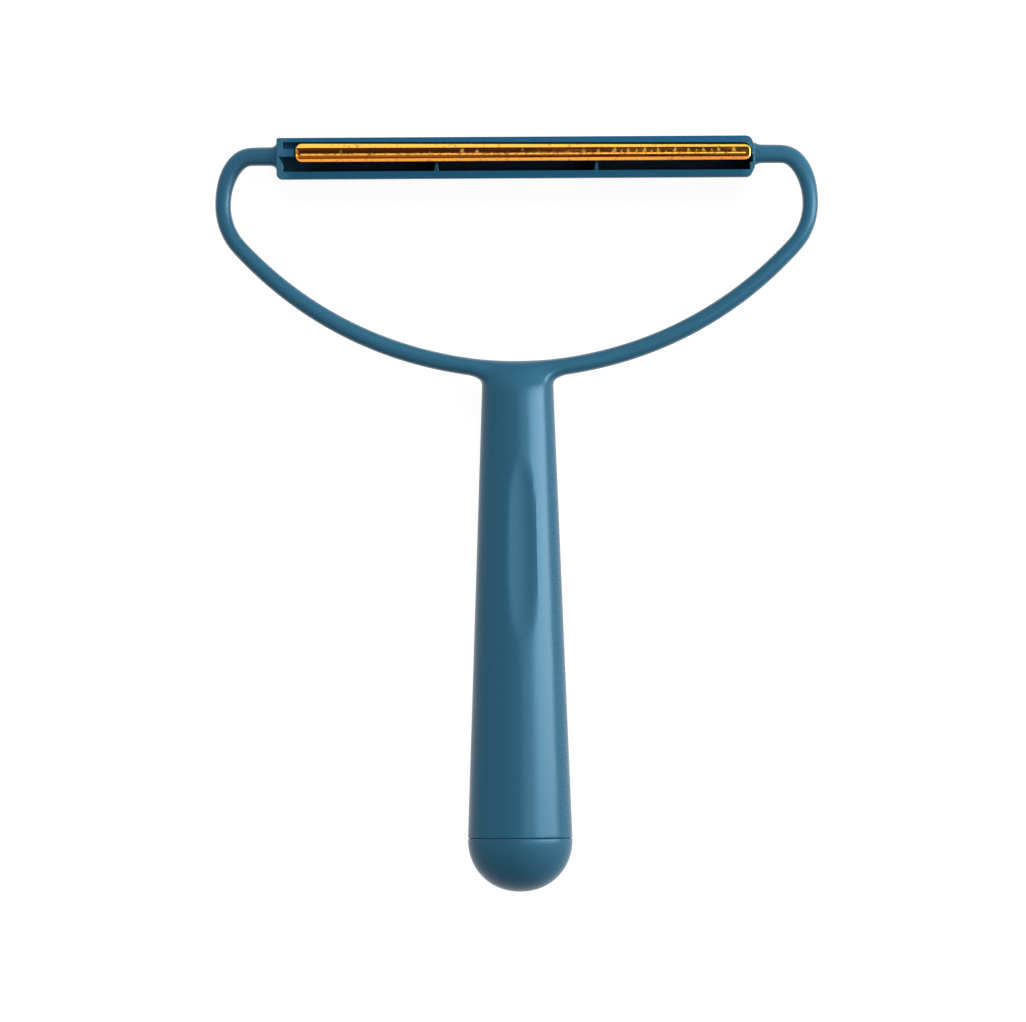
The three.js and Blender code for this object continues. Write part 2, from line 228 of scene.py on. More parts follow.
@named
class CapSizes(bpy.types.PropertyGroup):
    """The domed end cap with its spigot"""

    height: distance("Seam down to the dome's end", 12.35)
    fullness: number("2 is an ellipse, more is squarer", 2.08, min=1)
    wall: distance("Thickness of the dome at its end", 1.8)
    spigot_length: distance("Seam up to the spigot's tip", 11.85)
    spigot_gap: distance("Spigot to the socket", 0.3)
    spigot_wall: distance("Thickness of the spigot", 1.8)
    spigot_edge: distance("Chamfer at the spigot's tip", 0.6)
    rib_count: IntProperty(description="Crush ribs round the spigot", default=4, min=0)
    rib_width: distance("Width of a crush rib", 1.2)
    rib_gap: distance("Crush rib to the socket", 0.15)
    rib_lead: distance("Plain length at the spigot's tip", 2)


@named
class Finish(bpy.types.PropertyGroup):
    """Colours and gloss of the plastic and the copper, with painted shade and painted reflection among them
    """

    plastic: paint("Petrol blue of the mouldings", (0.030, 0.130, 0.215))
    # Painted shade: the head's rims are painted darker than the plastic, the lower rim most
    upper_rim: paint("Plastic along the head's upper rim", (0.015, 0.105, 0.215))
    lower_rim: paint("Plastic along the head's lower rim", (0.009, 0.08, 0.15))
    # Painted shade down in the troughs
    plastic_deep: paint("Down in the troughs", (0.0004, 0.0042, 0.016))
    plastic_sheen: paint("Tint of the plastic's gloss", (0.55, 0.84, 1.0))
    plastic_gloss: factor("Strength of the gloss", 0.12)
    plastic_roughness: factor("Satin of the plastic", 0.27)
    copper_upper: paint("Yellow of the upper lip", (1.0, 0.66, 0.1))
    copper_lower: paint("Orange of the lower lip", (0.95, 0.38, 0.06))
    copper_red: paint("Lower lip and ridge towards the right", (0.75, 0.25, 0.05))
    # Painted reflection: lighter gold in the lower valley towards the left
    copper_gold: paint("Lower valley towards the left", (0.3, 0.1, 0.01))
    copper_brown: paint("Worn streaks in the valleys", (0.2, 0.06, 0.012))
    copper_olive: paint("Valleys towards the right", (0.17, 0.1, 0.016))
    # Painted shade in the valleys and in the nook at the left end
    copper_dark: paint("Tarnish in the valleys", (0.045, 0.012, 0.003))
    copper_roughness: factor("Polish of the copper", 0.15)


@named
class Studio(bpy.types.PropertyGroup):
    """Camera and light"""

    camera_distance: distance("Camera to the brush", 8000)
    frame_width: distance("Width that the picture shows", 237.4)
    aim_x: number("Middle of the picture along the head", -0.00125, unit="LENGTH")
    aim_y: number("Middle of the picture up the handle", 0.00068, unit="LENGTH")
    roll: number("Turn of the picture", -0.0056, unit="ROTATION")
    strip_power: number("Light that draws the long gloss", 7.5, unit="POWER")
    sheen_power: number("Light that draws the wide gloss", 2.6, unit="POWER")
    side_power: number("Matt light from the right", 3.3, unit="POWER")
    far_power: number("Matt light from beyond the head", 12, unit="POWER")
    fill: factor("Strength of the light from all round", 0.36)
    table: factor("Brightness of the table", 0.3)
    table_glow: factor("Light added to the table", 0.88)


@named
class LintBrush(bpy.types.PropertyGroup):
    """All settings of the brush"""

    handle: PointerProperty(type=HandleSizes, description="Handle")
    bow: PointerProperty(type=BowSizes, description="Bow")
    head: PointerProperty(type=HeadSizes, description="Head")
    blade: PointerProperty(type=BladeSizes, description="Both blades")
    cap: PointerProperty(type=CapSizes, description="End cap")
    finish: PointerProperty(type=Finish, description="Materials")
    studio: PointerProperty(type=Studio, description="Stage")


def sizes(name):
    """One group's settings, with its lengths in millimetres."""
    group = getattr(bpy.context.scene.lint_brush, name)
    found = {}
    for key in type(group).__annotations__:
        value = getattr(group, key)
        found[key] = value / MM if group.bl_rna.properties[key].unit == "LENGTH" else value
    return SimpleNamespace(**found)


def places():
    """Heights, ends and depths that several pieces share, in millimetres."""
    bow, head, blade = sizes("bow"), sizes("head"), sizes("blade")
    at = SimpleNamespace()
    at.arm_line = bow.height + bow.drop
    at.head_middle = at.arm_line - head.below_arms
    at.head_top = at.head_middle + head.height / 2
    at.head_bottom = at.head_middle - head.height / 2
    at.head_end = head.length / 2
    at.right_face = at.head_end - head.short
    at.rim = head.depth / 2
    at.trough_top = at.head_top - head.upper_wall
    at.trough_bottom = at.head_bottom + head.lower_wall
    at.trough_end = at.head_end - head.end_wall
    at.trough_floor = head.web / 2
    at.blade_top = at.trough_top - blade.clearance
    at.blade_bottom = at.blade_top - blade.height
    at.blade_line = (at.blade_top + at.blade_bottom) / 2
    at.ridge_line = at.blade_line - blade.ridge_offset
    at.lip_crest = at.rim + blade.lip_proud
    at.floor_front = at.lip_crest - blade.valley
    at.floor_middle = at.floor_front - blade.sheet / 2
    at.floor_back = at.floor_front - blade.sheet
    at.leg_end = at.floor_back - blade.leg
    at.rib_low = at.blade_line - head.rib / 2
    at.rib_high = at.blade_line + head.rib / 2
    at.rib_crest = at.floor_back - blade.clearance
    at.pocket_end = at.trough_end + head.pocket
    at.pocket_low = at.blade_bottom - blade.clearance
    at.pocket_floor = at.leg_end - blade.clearance
    return at


# Tools of the modelling

# Steps of the roundings and bevels
JOINT_STEPS = 4
CORNER_BEVEL = 8
RIM_BEVEL = 3
TROUGH_BEVEL = 5
RIB_BEVEL = 2
RIDGE_BEVEL = 6
LIP_STEPS = 5
FILLET_STEPS = 3


def choose(piece):
    """Makes a piece the only one selected and the active one."""
    bpy.ops.object.select_all(action="DESELECT")
    piece.select_set(True)
    bpy.context.view_layer.objects.active = piece


def open_mesh(piece):
    """Opens a piece for editing."""
    choose(piece)
    bpy.ops.object.mode_set(mode="EDIT")


def close():
    """Leaves edit mode."""
    bpy.ops.object.mode_set(mode="OBJECT")


def select_all():
    """Selects all of the open mesh."""
    bpy.ops.mesh.select_all(action="SELECT")


def close_outwards():
    """Turns all faces of the open mesh outwards and leaves edit mode."""
    select_all()
    bpy.ops.mesh.normals_make_consistent(inside=False)
    close()


def start(add, **settings):
    """Adds a primitive on its own, puts its place in its mesh and opens it with all selected."""
    bpy.ops.object.select_all(action="DESELECT")
    add(**settings)
    bpy.ops.object.transform_apply()
    open_mesh(bpy.context.object)
    select_all()
    return bpy.context.object


def pick(kind, test):
    """Selects the verts, edges or faces of the open mesh whose middle passes a test."""
    bpy.ops.mesh.select_mode(type=kind)
    bpy.ops.mesh.select_all(action="DESELECT")
    mesh = bmesh.from_edit_mesh(bpy.context.object.data)
    for item in {"VERT": mesh.verts, "EDGE": mesh.edges, "FACE": mesh.faces}[kind]:
        corners = [item] if kind == "VERT" else item.verts
        middle = sum((corner.co for corner in corners), Vector()) / len(corners)
        item.select_set(bool(test(middle, item)))
    mesh.select_flush_mode()
    bmesh.update_edit_mesh(bpy.context.object.data)


def move(x, y=0):
    """Moves the selection."""
    bpy.ops.transform.translate(value=(x, y, 0))


def scale(ratios, centre):
    """Scales the selection from a centre."""
    bpy.ops.transform.resize(value=ratios, center_override=centre)


def turn(angle, centre):
    """Turns the selection about the Z axis, clockwise as the front is seen."""
    bpy.ops.transform.rotate(value=angle, orient_axis="Z", center_override=centre)


def extrude(way):
    """Extrudes the selected edges."""
    bpy.ops.mesh.extrude_edges_move(TRANSFORM_OT_translate={"value": way})


def bevel(width, steps):
    """Bevels the selected edges."""
    bpy.ops.mesh.bevel(offset=width, segments=steps)


def block(x0, x1, y0, y1, z0, z1):
    """A box between two corners, open for editing."""
    middle = ((x0 + x1) / 2, (y0 + y1) / 2, (z0 + z1) / 2)
    extent = (x1 - x0, y1 - y0, z1 - z0)
    return start(bpy.ops.mesh.primitive_cube_add, size=1, location=middle, scale=extent)


def modify(piece, kind, **settings):
    """Adds a modifier to a piece, sets it and applies it."""
    choose(piece)
    bpy.ops.object.modifier_add(type=kind)
    modifier = piece.modifiers[-1]
    for name, value in settings.items():
        setattr(modifier, name, value)
    bpy.ops.object.modifier_apply(modifier=modifier.name)


def combine(piece, other, operation):
    """Joins another closed body to a piece, or cuts it out, and removes the other."""
    modify(piece, "BOOLEAN", operation=operation, object=other, solver="EXACT")
    bpy.data.objects.remove(other)


def turned_copy(piece, moved_in=0):
    """A copy of a piece, half a turn round the handle and then moved in from the right."""
    choose(piece)
    bpy.ops.object.duplicate()
    copy = bpy.context.object
    copy.rotation_euler = (0, HALF_TURN, 0)
    copy.location = (-moved_in, 0, 0)
    bpy.ops.object.transform_apply()
    return copy


def both_faces(piece, feature, operation, moved_in=0):
    """Combines a feature with a piece on its front and, half a turn round, on its back."""
    back = turned_copy(feature, moved_in)
    combine(piece, feature, operation)
    combine(piece, back, operation)


def follow_profile(profile):
    """Carries the selected ring round the handle's axis along (radius, height) points, from the first."""
    for (radius, height), (next_radius, next_height) in zip(profile, profile[1:]):
        extrude((0, next_height - height, 0))
        ratio = next_radius / radius
        scale((ratio, 1, ratio), (0, next_height, 0))


def lathe(profile, sides):
    """An open shell round the handle's axis along (radius, height) points, its last ring selected."""
    radius, height = profile[0]
    shape = {"vertices": sides, "radius": radius}
    lie = {"location": (0, height, 0), "rotation": (QUARTER_TURN, 0, 0)}
    piece = start(bpy.ops.mesh.primitive_circle_add, **shape, **lie)
    follow_profile(profile)
    return piece


def close_ring(rise):
    """Closes the selected ring with a fan to a point that lies further along the axis."""
    extrude((0, rise, 0))
    bpy.ops.mesh.merge(type="CENTER")


def arc(steps):
    """Angles of a quarter turn, from 0."""
    return [QUARTER_TURN * step / steps for step in range(steps + 1)]


def joint_edge(height, way):
    """(radius, height) points of the rounding beside the seam, up (1) or down (-1) from a height."""
    handle = sizes("handle")
    return [
        (handle.mouth_radius - handle.edge * (1 - math.cos(a)), height + way * handle.edge * math.sin(a))
        for a in arc(JOINT_STEPS)
    ]


def cage_share(count):
    """How much wider a cage ring of so many points is than the smooth ring that it gives."""
    return 6 / (4 + 2 * math.cos(2 * HALF_TURN / count))


def smooth(piece, degrees):
    """Shades a piece smooth and keeps the edges that turn more than an angle."""
    choose(piece)
    bpy.ops.object.shade_smooth_by_angle(angle=math.radians(degrees))


def weld(piece):
    """Welds points that lie together after the cuts and takes out slivers."""
    open_mesh(piece)
    select_all()
    bpy.ops.mesh.remove_doubles(threshold=NEAR / 2)
    bpy.ops.mesh.dissolve_degenerate(threshold=NEAR / 2)
    close_outwards()


def seam_place():
    """Middle of the handle's seam, from which the pieces are drawn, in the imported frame."""
    return Vector(head_top_face["pos_m"]) - handle_way * sizes("head").mount_height * MM


def lay(piece, name, node, body, material):
    """Brings a finished piece to its place on the table and hands it over as its node's stand-in."""
    piece.name = piece.data.name = name
    piece.scale = (MM, MM, MM)
    piece.rotation_euler = (brush_tilt, 0, 0)
    piece.location = seam_place()
    choose(piece)
    bpy.ops.object.transform_apply()
    piece.data.materials.clear()
    piece.data.materials.append(material)
    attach(piece, body)
    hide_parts(node)


# The moulded frame

CAGE_SIDES = 12
BAR_SIDES = 8
BAR_CORNERS = (0.2, 0.45)
BAR_SQUARENESS = 1.2
SWEEP_STEPS = 9
SIDE_STEPS = 5
CORNER_STEPS = 8
SKIN_LEVELS = 3
HOLLOW_CUTS = 3
HOLLOW_MARGIN = 4
TOP_GRID = {"span": 4, "offset": 3}

# The handle's cage: heights of its straight rings, and the last one's distance below the shoulder
STRAIGHT_RINGS = (4, 35, 70, 95, 101.5)
BELOW_SHOULDER = 0.4

# The shoulder's top ring above the bow's line, in thicknesses of the bow
NECK_TOP = 0.43

# What is left of the depth of the shoulder's three rings at their outer and their inner points,
# and which points those are, by their depth as a share of the rings' reach
SHOULDER_DEPTHS = ((0.93, 0.93), (0.7, 0.93), (0.44, 0.77))
OUTER_POINTS, INNER_POINTS = (0.6, 1.1), (0.45, 0.55)

# The rise of the shoulder's top: from which share of its reach, over which half depth and how high
NECK_RISES = (
    (-1, 4, 0.06),
    (0.45, 4, 0.12),
    (0.8, 4, 0.2),
    (-1, NEAR, 0.38),
    (0.5, NEAR, 0.06),
    (0.9, NEAR, 0.09),
)

# The bow's opening: from which share of the shoulder's reach, and how far above its top ring
OPENING_FROM = 0.85
OPENING_ABOVE = 0.4

# The bow's first ring past the shoulder, in neck fillets, and where its deep part ends, in that ring's X
BOW_START = 0.8
NECK_END = 2.4

# The bow's second ring, as a share of the first step of the sweep
CLOSE_BY = 0.25

# The arms' roots: place beyond the head's end, left swell and right swell, in root fillets
ROOTS = (
    (2.4, 0, 0),
    (1.25, 0.02, 0.02),
    (0.55, 0.25, 0.12),
    (0.12, 0.8, 0.3),
    (-0.1, 1.3, 0.42),
    (-0.3, 1.35, 0.48),
    (-0.7, 1.35, 0.56),
)

# Width of a cross rib's end under the blade, as a share of its foot
CROSS_RIB_END = 0.5


def handle_radius(height):
    """Outside radius of the handle at a height above the seam."""
    handle = sizes("handle")
    foot = handle.seam_gap / 2
    share = (height - foot) / (handle.straight - foot)
    return handle.mouth_radius + (handle.top_radius - handle.mouth_radius) * share


def ease(value, low, high):
    """Rises smoothly from 0 at low to 1 at high."""
    share = min(1, max(0, (value - low) / (high - low)))
    return share * share * (3 - 2 * share)


def bow_line(start_x):
    """Points and headings along the middle of the bow's right half: the sweep, the side and the bend."""
    bow, at = sizes("bow"), places()
    side_line = at.arm_line - bow.corner_height
    drop = side_line - bow.height
    excess = drop**2 + bow.half_width**2 - 2 * bow.half_width * bow.side_radius
    sweep = excess / (2 * (drop - bow.side_radius))
    side_x = bow.half_width - bow.side_radius
    side_start = math.asin(side_x / (sweep - bow.side_radius))
    corner_x = bow.half_width - bow.corner_width
    first = math.asin(start_x / sweep)
    line = []
    for step in (0, CLOSE_BY, *range(1, SWEEP_STEPS)):
        heading = first + (side_start - first) * (step / SWEEP_STEPS)
        line.append((sweep * math.sin(heading), bow.height + sweep * (1 - math.cos(heading)), heading))
    for step in range(SIDE_STEPS):
        heading = side_start + (QUARTER_TURN - side_start) * step / SIDE_STEPS
        x = side_x + bow.side_radius * math.sin(heading)
        line.append((x, side_line - bow.side_radius * math.cos(heading), heading))
    for angle in arc(CORNER_STEPS):
        x = corner_x + bow.corner_width * math.cos(angle)
        heading = math.atan2(bow.corner_height * math.cos(angle), -bow.corner_width * math.sin(angle))
        line.append((x, side_line + bow.corner_height * math.sin(angle), heading))
    return line


def bow_stations(start_x):
    """Points, headings, thicknesses and depths along the bow's right half, from handle to head."""
    bow, at = sizes("bow"), places()
    side_line = at.arm_line - bow.corner_height
    stations = []
    for x, y, heading in bow_line(start_x):
        upper = ease(y, side_line, at.arm_line)
        lower = ease(-y, -side_line, -bow.height)
        thickness = bow.side + (bow.arm - bow.side) * upper + (bow.bottom - bow.side) * lower
        depth = bow.depth + (bow.neck_depth - bow.depth) * ease(-x, -NECK_END * start_x, -start_x)
        stations.append((Vector((x, y, 0)), heading, thickness, depth))
    for share, swell, _ in ROOTS:
        point = Vector((at.head_end + share * bow.root_fillet, at.arm_line, 0))
        stations.append((point, HALF_TURN, bow.arm + 2 * swell * bow.root_fillet, bow.depth))
    return stations


def draw_bow(stations):
    """Draws the bow's bar as a cage: an oval ring carried along its stations and closed in the head."""
    point, heading, thickness, depth = stations[0]
    lie = {"location": point, "rotation": (0, QUARTER_TURN, heading)}
    bpy.ops.mesh.primitive_circle_add(vertices=BAR_SIDES, radius=cage_share(BAR_SIDES) / 2, **lie)
    scale((thickness, thickness, depth), point)
    # The ring's four corners go further out, which squares the oval
    low, high = BAR_CORNERS
    pick("VERT", lambda p, v: v.is_wire and low * depth < abs(p.z) < high * depth)
    scale((BAR_SQUARENESS,) * 3, point)
    pick("EDGE", lambda _, e: e.is_wire)
    for next_point, next_heading, next_thickness, next_depth in stations[1:]:
        extrude(next_point - point)
        turn(heading - next_heading, next_point)
        wider, deeper = next_thickness / thickness, next_depth / depth
        scale((wider, wider, deeper), next_point)
        point, heading, thickness, depth = next_point, next_heading, next_thickness, next_depth
    bpy.ops.mesh.edge_face_add()


def lower_right_root(piece):
    """Draws the right arm's root in, to meet the head's leaning end."""
    bow, at = sizes("bow"), places()
    fillet = bow.root_fillet
    open_mesh(piece)
    for share, left, right in ROOTS:
        x = at.head_end + share * fillet
        ratio = (bow.arm + 2 * right * fillet) / (bow.arm + 2 * left * fillet)
        pick("VERT", lambda p, _: abs(p.x - x) < NEAR)
        scale((1, ratio, 1), (x, at.arm_line, 0))
    close()


def lengthwise(edge):
    """Whether an edge runs along the handle."""
    first, second = (point.co for point in edge.verts)
    return abs(first.y - second.y) > 1


def press_thumb_hollows(piece):
    """Presses a shallow oval into the handle's front and another into its back."""
    handle = sizes("handle")
    radius = handle_radius(handle.thumb_height)
    half, reach = handle.thumb_width / 2, handle.thumb_length / 2
    dip = radius - math.sqrt(radius**2 - half**2) + handle.thumb_dip
    open_mesh(piece)
    pick("EDGE", lambda p, e: abs(p.y - handle.thumb_height) < reach + HOLLOW_MARGIN and lengthwise(e))
    bpy.ops.mesh.subdivide(number_cuts=HOLLOW_CUTS)
    close()
    hollows = piece.vertex_groups.new(name="hollows")
    for point in piece.data.vertices:
        x, y, z = point.co
        side = math.copysign(1, z)
        across = radius * math.atan2(side * x, side * z) - handle.thumb_offset
        along = abs(y - handle.thumb_height) / reach
        level = 1 - (across / half) ** 2 - along**handle.thumb_bluntness
        right = ease(across, -half / 2, half / 2)
        rim = handle.thumb_left_rim + (handle.thumb_right_rim - handle.thumb_left_rim) * right
        # The level fades to nothing over the soft rim
        depth = level if level > rim else max(0, level + rim) ** 2 / (4 * rim)
        if depth > 0:
            hollows.add([point.index], depth, "REPLACE")
    modify(piece, "DISPLACE", vertex_group="hollows", strength=-dip, mid_level=0)
    piece.vertex_groups.clear()


def hollow_out(piece, mouth, foot):
    """Rounds the handle's mouth and carries its rim inwards as the socket and the bore."""
    handle = sizes("handle")
    open_mesh(piece)
    pick("EDGE", lambda _, e: e.is_boundary)
    socket = handle.mouth_radius - handle.wall
    socket_top = foot + handle.socket
    bore = handle_radius(socket_top) - handle.wall - handle.ledge
    bore_end = handle.top_radius - handle.wall
    inside = [(socket, foot), (socket, socket_top), (bore, socket_top)]
    end = [(bore_end, handle.bore_end - bore_end / 2), (bore_end / 2, handle.bore_end)]
    follow_profile([*joint_edge(mouth, -1), *inside, *end])
    close_ring(0)
    close_outwards()


def model_handle_and_bow():
    """The handle and the bow as one smooth skin, hollow from the mouth."""
    handle, bow = sizes("handle"), sizes("bow")
    foot = handle.seam_gap / 2
    mouth = foot + handle.edge
    low = handle.straight + bow.neck_fillet / 2
    high = bow.height + bow.bottom * NECK_TOP
    neck = (low, (low + high) / 2, high)
    heights = (mouth, *STRAIGHT_RINGS, handle.straight - BELOW_SHOULDER, *neck)
    wider = cage_share(CAGE_SIDES)
    profile = [(wider * handle_radius(min(y, handle.straight)), y) for y in heights]
    piece = lathe(profile, CAGE_SIDES)
    bpy.ops.mesh.fill_grid(**TOP_GRID)
    # The shoulder leans in at the front and back, and the bow's line crosses its top
    reach = profile[-1][0]
    for height, depths in zip(neck, SHOULDER_DEPTHS):
        for (near, far), depth in zip((OUTER_POINTS, INNER_POINTS), depths):
            pick("VERT", lambda p, _: abs(p.y - height) < NEAR and near < abs(p.z) / reach < far)
            scale((1, 1, depth), (0, height, 0))
    for beyond, half, rise in NECK_RISES:
        pick("VERT", lambda p, _: p.y > high - NEAR and abs(p.z) < half and abs(p.x) > beyond * reach)
        move(0, rise)
    # Only the right half is drawn, with an opening where the bow grows out of it
    pick("VERT", lambda p, _: p.x < -NEAR)
    bpy.ops.mesh.delete(type="VERT")
    pick("FACE", lambda p, _: p.x > OPENING_FROM * reach and low < p.y < high + OPENING_ABOVE)
    bpy.ops.mesh.delete(type="FACE")
    draw_bow(bow_stations(reach + BOW_START * bow.neck_fillet))
    pick("EDGE", lambda p, e: e.is_boundary and p.x > reach / 2 and p.y > low - NEAR)
    bpy.ops.mesh.bridge_edge_loops()
    close_outwards()
    modify(piece, "MIRROR", use_clip=True)
    lower_right_root(piece)
    modify(piece, "SUBSURF", levels=SKIN_LEVELS, render_levels=SKIN_LEVELS)
    press_thumb_hollows(piece)
    hollow_out(piece, mouth, foot)
    return piece


def recess(x0, x1, y0, y1, floor):
    """A cutter for a recess in the head's front rim, with broken edges, open for editing."""
    at, edge = places(), sizes("head").inner_edge
    cutter = block(x0, x1, y0, y1, floor, at.rim - edge)
    pick("FACE", lambda p, _: p.z > at.rim - edge - NEAR)
    bpy.ops.mesh.extrude_region_move(TRANSFORM_OT_translate={"value": (0, 0, 2 * edge)})
    wider = (1 + 4 * edge / (x1 - x0), 1 + 4 * edge / (y1 - y0), 1)
    scale(wider, ((x0 + x1) / 2, (y0 + y1) / 2, at.rim + edge))
    return cutter


def rib(x0, x1, y0, y1, crest):
    """A rib that stands on the web, with broken edges along its crest."""
    bar = block(x0, x1, y0, y1, 0, crest)
    pick("EDGE", lambda p, _: p.z > crest - NEAR)
    bevel(sizes("head").inner_edge, RIB_BEVEL)
    close()
    return bar


def head_block():
    """The head's solid block, upright at the left end and leaning at the right."""
    head, at = sizes("head"), places()
    piece = block(-at.head_end, at.right_face, at.head_bottom, at.head_top, -at.rim, at.rim)
    pick("EDGE", lambda p, _: abs(p.z) < NEAR and p.x > at.right_face - NEAR)
    bevel(head.slant_height, 1)
    pick("VERT", lambda p, _: p.x > 0 and abs(p.y - at.head_middle) > head.height / 2 - NEAR)
    move(head.slant_height - head.slant)
    slant_x = at.right_face - head.slant
    for x, y, radius in (
        (-at.head_end, at.head_top, head.sharp_corner),
        (-at.head_end, at.head_bottom, head.blunt_corner),
        (slant_x, at.head_top, head.round_corner),
        (slant_x, at.head_bottom, head.round_corner),
    ):
        pick("EDGE", lambda p, _: (p - Vector((x, y, 0))).length < NEAR)
        bevel(radius, CORNER_BEVEL)
    pick("EDGE", lambda p, _: abs(abs(p.z) - at.rim) < NEAR)
    bevel(head.edge, RIM_BEVEL)
    close()
    return piece


def cut_troughs(piece):
    """Cuts a trough, the pockets at its ends and a notch into the head's front and its back."""
    head, blade, at = sizes("head"), sizes("blade"), places()
    right_top = at.trough_top - head.upper_taper
    trough = recess(-at.trough_end, at.trough_end, at.trough_bottom, at.trough_top, at.trough_floor)
    pick("VERT", lambda p, _: p.x > 0 and p.y > at.trough_top - NEAR)
    move(0, -head.upper_taper)
    near = head.trough_corner / 4
    pick("EDGE", lambda p, _: p.x > at.trough_end - near and p.y > right_top - near)
    bevel(head.trough_corner, TROUGH_BEVEL)
    close()
    both_faces(piece, trough, "DIFFERENCE")
    inner = at.trough_end - OVERLAP
    notch_low = at.rib_low - head.rib
    for end, low, high in (
        (blade.right + head.pocket_gap, at.pocket_low, right_top - head.trough_corner),
        (at.right_face - head.notch, notch_low, at.rib_low),
    ):
        cutter = recess(inner, end, low, high, at.pocket_floor)
        close()
        both_faces(piece, cutter, "DIFFERENCE")
    left_pocket = recess(-at.pocket_end, -inner, notch_low, at.rib_low, at.pocket_floor)
    pick("VERT", lambda p, _: p.x < -at.trough_end and p.y < notch_low + NEAR)
    move(head.pocket + head.pocket_lap)
    close()
    both_faces(piece, left_pocket, "DIFFERENCE", head.short)


def add_ribs(piece):
    """Adds the ribs that carry the blades, the shelves at their left ends and the cross ribs."""
    head, blade, at = sizes("head"), sizes("blade"), places()
    outer = at.trough_end + OVERLAP
    low, high = at.trough_bottom - OVERLAP, at.trough_top + OVERLAP
    bare = -blade.left - blade.clearance
    left_sides = (at.rib_low + NEAR, at.rib_high - NEAR)
    left_rib = rib(-at.pocket_end - OVERLAP, bare, *left_sides, at.rim - head.left_rib_drop)
    both_faces(piece, left_rib, "UNION", head.short)
    bars = [
        rib(-outer, outer, at.rib_low, at.rib_high, at.rib_crest),
        rib(-outer, bare + blade.corner, at.rib_high - OVERLAP, high, at.rim - head.shelf),
    ]
    for side in (-1, 1):
        middle = side * head.cross_rib_spacing / 2
        x0, x1 = middle - head.cross_rib / 2, middle + head.cross_rib / 2
        bars.append(rib(x0, x1, low, high, at.pocket_floor))
        bars.append(rib(x0, x1, low, at.pocket_low, at.rim - head.cross_rib_drop))
        open_mesh(bars[-1])
        pick("VERT", lambda p, _: p.y > at.pocket_low - 2 * head.inner_edge)
        scale((CROSS_RIB_END, 1, 1), (middle, at.pocket_low, 0))
        close()
    for bar in bars:
        both_faces(piece, bar, "UNION")


class LINTBRUSH_OT_frame(bpy.types.Operator):
    """Models the frame: the hollow handle, the bow and the head in one moulding"""

    bl_idname = "lint_brush.frame"
    bl_label = "Moulded frame"

    def execute(self, context):
        piece = model_handle_and_bow()
        head = head_block()
        cut_troughs(head)
        add_ribs(head)
        combine(piece, head, "UNION")
        weld(piece)
        smooth(piece, degrees=16)
        modify(piece, "WEIGHTED_NORMAL", keep_sharp=True)
        lay(piece, "moulded_frame", "frame", "brush", blue_plastic())
        return {"FINISHED"}


# The end cap

ROUND_STEPS = 96
DOME_STEPS = 22
CUP_STEPS = 8


class LINTBRUSH_OT_cap(bpy.types.Operator):
    """Models the domed end cap, its hollow spigot and the spigot's crush ribs"""

    bl_idname = "lint_brush.cap"
    bl_label = "End cap"

    def execute(self, context):
        handle, cap = sizes("handle"), sizes("cap")
        seam = -handle.seam_gap / 2
        dome_top = seam - handle.edge
        dome_depth = cap.height + dome_top
        power = 2 / cap.fullness
        dome = [
            (handle.mouth_radius * math.cos(a) ** power, dome_top - dome_depth * math.sin(a) ** power)
            for a in reversed(arc(DOME_STEPS)[:-1])
        ]
        socket = handle.mouth_radius - handle.wall
        spigot = socket - cap.spigot_gap
        hollow = spigot - cap.spigot_wall
        tip, chamfer = cap.spigot_length, cap.spigot_edge
        outside = [(spigot, seam), (spigot, tip - chamfer), (spigot - chamfer, tip), (hollow, tip)]
        centre = cap.wall + hollow - cap.height
        cup = [(hollow * math.cos(a), centre - hollow * math.sin(a)) for a in arc(CUP_STEPS)[:-1]]
        profile = [*dome, *joint_edge(dome_top, 1)[1:], *outside, *cup]
        piece = lathe(profile, ROUND_STEPS)
        close_ring(cap.wall - cap.height - profile[-1][1])
        pick("EDGE", lambda _, e: e.is_boundary)
        close_ring(-cap.height - profile[0][1])
        close_outwards()
        half = cap.rib_width / 2
        for step in range(cap.rib_count):
            bar = block(spigot - OVERLAP, socket - cap.rib_gap, seam, tip - cap.rib_lead, -half, half)
            close()
            bar.rotation_euler = (0, 2 * HALF_TURN * step / cap.rib_count, 0)
            bpy.ops.object.transform_apply()
            combine(piece, bar, "UNION")
        smooth(piece, degrees=30)
        lay(piece, "domed_end_cap", "end_cap", "cap", blue_plastic())
        return {"FINISHED"}


# The blades

# Rounding of the ridge's crest, in ridge widths, and height of a tooth's root, in ridge heights
CREST_ROUND = 0.45
ROOT_HEIGHT = 0.75

# Height of a tooth's tip, as a share of its root, and how far above the ridge's line the tips begin
TIP_HEIGHT = 0.75
TIPS_FROM = 0.1

# Chance in the row of teeth: sizes of the main teeth and of those between them, and bend to either side
TOOTH_SEED = 4
MAIN_TEETH = (0.85, 1.2)
TEETH_BETWEEN = (0.2, 0.75)
TOOTH_BEND = 0.4


def inset(width, rise):
    """Insets the selected face, less so at the blade's ends, and lifts it."""
    blade = sizes("blade")
    bpy.ops.mesh.inset(thickness=width, depth=rise)
    half = (blade.left + blade.right) / 2
    longer = 1 + width * (1 - blade.end_lip / blade.lip) / half
    scale((longer, 1, 1), (blade.right - half, 0, 0))


def lean():
    """Turns the selection as the valleys lie, which climb a little to the right."""
    blade, at = sizes("blade"), places()
    turn(-blade.lean, ((blade.right - blade.left) / 2, at.blade_line, 0))


def quarter_round(radius, steps, from_wall, way):
    """Insets the selected face over a quarter round, from a wall or from a flat, up (1) or down (-1)."""
    angles = arc(steps)
    for before, after in zip(angles, angles[1:]):
        fall = radius * (math.cos(before) - math.cos(after))
        rise = radius * (math.sin(after) - math.sin(before))
        width, lift = (fall, rise) if from_wall else (rise, fall)
        inset(width, way * lift)


def taper():
    """Draws the open strip's right end down to its lower height."""
    blade, at = sizes("blade"), places()
    pick("VERT", lambda p, _: p.x > 0)
    scale((1, blade.right_height / blade.height, 1), (0, at.blade_bottom, 0))


